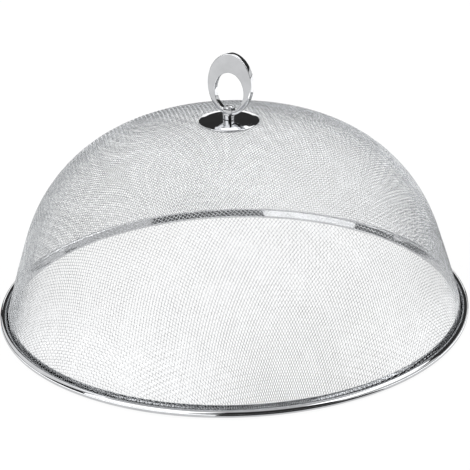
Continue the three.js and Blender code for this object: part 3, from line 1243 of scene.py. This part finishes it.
    def build(self) -> None:
        """Builds and dresses the handle."""
        self._ring()
        self._post()
        self._screw()
        self._washer()
        self._nut()


@dataclass(frozen=True)
class Softbox:
    """A soft light with an even face. Places are as the camera sees them: right, away and up."""

    name: str
    place: Point
    aim: Point
    width: float
    height: float
    radiance: float

    def build(self) -> None:
        """Adds the light, turned with the camera."""
        light = bpy.data.lights.new(self.name, "AREA")
        light.shape = "RECTANGLE"
        light.size, light.size_y = self.width, self.height
        light.energy = self.radiance * math.pi * self.width * self.height
        back = Vector(self.place) - Vector(self.aim)
        facing = back.to_track_quat("Z", "Y").to_matrix().to_4x4()
        turn = Matrix.Rotation(CAMERA_TURN, 4, "Z")
        add_object(self.name, light).matrix_world = turn @ Matrix.Translation(self.place) @ facing


@dataclass(frozen=True)
class Card:
    """A card on the floor, part of a ring round the object, which only the reflections show.

    It reaches from near to far, in metres, between two bearings from the camera to the right. Its colour and
    glow are a painted reflection in the polished steel.
    """

    name: str
    near: float
    far: float
    start: float
    end: float
    colour: str
    glow: float
    steps: int = 24
    height: float = -0.0002

    def build(self) -> None:
        """Lays the card down, turned with the camera."""
        bearings = [math.radians(self.start + (self.end - self.start) * k / self.steps)
                    for k in range(self.steps + 1)]
        points = [(reach * math.sin(turn), -reach * math.cos(turn), self.height)
                  for turn in bearings for reach in (self.near, self.far)]
        faces = [(2 * k, 2 * k + 1, 2 * k + 3, 2 * k + 2) for k in range(self.steps)]
        mesh = bpy.data.meshes.new(self.name)
        mesh.from_pydata(points, [], faces)
        card = add_object(self.name, mesh)
        card.rotation_euler.z = CAMERA_TURN
        # Only mirror reflections see the card. It is a painted reflection: bright where it glows white, and
        # dark where it is black.
        card.visible_camera = card.visible_shadow = card.visible_diffuse = False
        mesh.materials.append(glowing_sheet("painted_reflection_" + self.name, self.colour, self.colour, self.glow))


@dataclass
class Studio:
    """The pale floor, the soft lights and the camera. Sizes are in metres and degrees."""

    floor_radius: float = 2.1
    floor_segments: int = 96
    floor_middle: Point = (0.0, -0.6, 0.0)
    floor_colour: str = "f4f4f4"
    floor_scatter: str = "505050"
    floor_glow: float = 1.0
    floor_drop: float = 0.0004
    # Colours and glow of the cards, which are painted reflections.
    card_black: str = "202020"
    card_near: float = 0.18
    card_gap: float = 0.01
    card_far: float = 0.3
    card_glow: float = 2.0
    light_reach: float = 1.6
    light_aim: float = 0.07
    surroundings: float = 0.045
    backdrop: float = 1.0
    elevation: float = 25.791
    distance: float = 1.4
    pitch: float = -2.1569
    yaw: float = 0.0989
    roll: float = 1.5998
    focal_px: float = 1834.2
    frame_px: float = 470.0
    sensor_mm: float = 36.0
    half_pixel: float = 0.5 / 470

    def _floor(self) -> None:
        """Adds the floor, which the dome stands on."""
        mesh = bpy.data.meshes.new("studio_floor")
        maker = bmesh.new()
        bmesh.ops.create_circle(maker, cap_ends=True, segments=self.floor_segments, radius=self.floor_radius)
        maker.to_mesh(mesh)
        maker.free()
        floor = add_object("studio_floor", mesh)
        turn = Matrix.Rotation(CAMERA_TURN, 3, "Z")
        floor.location = turn @ Vector(self.floor_middle) - Vector((0, 0, self.floor_drop))
        mesh.materials.append(glowing_sheet(
            "backlit_white_acrylic_sheet", self.floor_scatter, self.floor_colour, self.floor_glow))

    def _world(self) -> None:
        """Sets dark surroundings, with a white backdrop for the eye alone."""
        world = bpy.data.worlds.new("studio")
        world.use_nodes = True
        tree = world.node_tree
        tree.nodes.clear()
        dark = add_node(tree, "ShaderNodeBackground", {"Strength": self.surroundings})
        white = add_node(tree, "ShaderNodeBackground", {"Strength": self.backdrop})
        for shade in (dark, white):
            shade.inputs["Color"].default_value = (1, 1, 1, 1)
        path = add_node(tree, "ShaderNodeLightPath")
        mix = add_node(
            tree, "ShaderNodeMixShader", {},
            {0: path.outputs["Is Camera Ray"], 1: dark.outputs[0], 2: white.outputs[0]})
        add_node(tree, "ShaderNodeOutputWorld", {}, {"Surface": mix.outputs[0]})
        bpy.context.scene.world = world

    def _camera(self) -> None:
        """Adds the camera, at the photograph's angle."""
        e = math.radians(self.elevation)
        place = Vector((0, -self.distance * math.cos(e), self.distance * math.sin(e)))
        back = place.normalized()
        right = Vector((0, 0, 1)).cross(back).normalized()
        up = back.cross(right)
        view = Matrix((right, up, back))
        turn = Matrix.Rotation(CAMERA_TURN, 3, "Z")
        yaw, pitch, roll = (
            Matrix.Rotation(math.radians(angle), 3, axis)
            for angle, axis in ((self.yaw, "Y"), (self.pitch, "X"), (self.roll, "Z")))
        axes = turn @ (roll @ pitch @ yaw @ view).transposed()
        data = bpy.data.cameras.new("camera")
        data.sensor_width = self.sensor_mm
        data.lens = self.focal_px * self.sensor_mm / self.frame_px
        data.clip_end = 20
        data.shift_x, data.shift_y = -self.half_pixel, self.half_pixel
        camera = add_object("camera", data)
        camera.matrix_world = Matrix.Translation(turn @ place) @ axes.to_4x4()
        bpy.context.scene.camera = camera

    def _standing(
        self, name: str, bearing: float, spread: float, low: float, high: float, radiance: float,
    ) -> Softbox:
        """A standing light that leans over the object.

        Args:
            name: The light's name.
            bearing: How far round from the camera it stands, to the right.
            spread: The angle that its width fills, seen from the object.
            low: The elevation of its lower edge.
            high: The elevation of its upper edge.
            radiance: Its brightness.

        Returns:
            The light.
        """
        turn, rise = math.radians(bearing), math.radians((low + high) / 2)
        across = self.light_reach * math.cos(rise)
        place = (across * math.sin(turn), -across * math.cos(turn),
                 self.light_aim + self.light_reach * math.sin(rise))
        width = 2 * across * math.tan(math.radians(spread / 2))
        height = 2 * self.light_reach * math.tan(math.radians((high - low) / 2))
        return Softbox(name, place, (0, 0, self.light_aim), width, height, radiance)

    def build(self) -> None:
        """Builds the studio."""
        self._floor()
        black, white, glow = self.card_black, self.floor_colour, self.card_glow
        near, far = self.card_near, self.card_far
        # Painted reflections: the black cards put dark reflections in the polished steel, and the glowing
        # white cards put bright ones there. The camera does not see the cards.
        for card in (
            Card("black_card_front", near, 0.37, -5, 36, black, 0.0),
            Card("black_card_left", near, far, -178, -90, black, 0.0),
            Card("black_card_right", near, far, 92, 178, black, 0.0),
            Card("white_card_left", near + self.card_gap, far, -70, -5, white, glow),
            Card("white_card_right", near + self.card_gap, far, 37, 90, white, glow),
            Card("white_card_post", far, 0.45, -44, -6, white, glow),
            Card("white_card_back", far, 1.6, 100, 140, white, 0.85),
        ):
            card.build()
        self._world()
        self._camera()
        for light in (
            Softbox("overhead", (0, 0, 1.5), (0, 0, 0), 2.0, 2.0, 0.7),
            self._standing("left_front", -45, 60, 5, 58, 2.4),
            self._standing("right_upper", 75, 60, 30, 58, 3.4),
            self._standing("right_lower", 75, 60, 5, 30, 0.9),
            self._standing("back_upper", 145, 80, 40, 58, 2.25),
            self._standing("left_back", -120, 60, 5, 58, 1.1),
            self._standing("back_lower", 180, 60, 0, 14, 1.7),
            self._standing("right_back_lower", 124, 46, -1, 10, 0.95),
        ):
            light.build()
        bpy.context.scene.view_settings.view_transform = "Standard"


def main() -> None:
    """Builds the food dome in its studio."""
    logging.basicConfig(level=logging.INFO, format="%(message)s")
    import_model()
    Studio().build()
    bench = Bench()
    profile = Profile()
    cloth = FormedCloth(profile, bench)
    rim = RolledRim(profile, bench, cloth.wire_diameter)
    for part in (cloth, rim, CrownPlates(profile, bench), Handle(bench)):
        part.build()


if __name__ == "__main__":
    main()
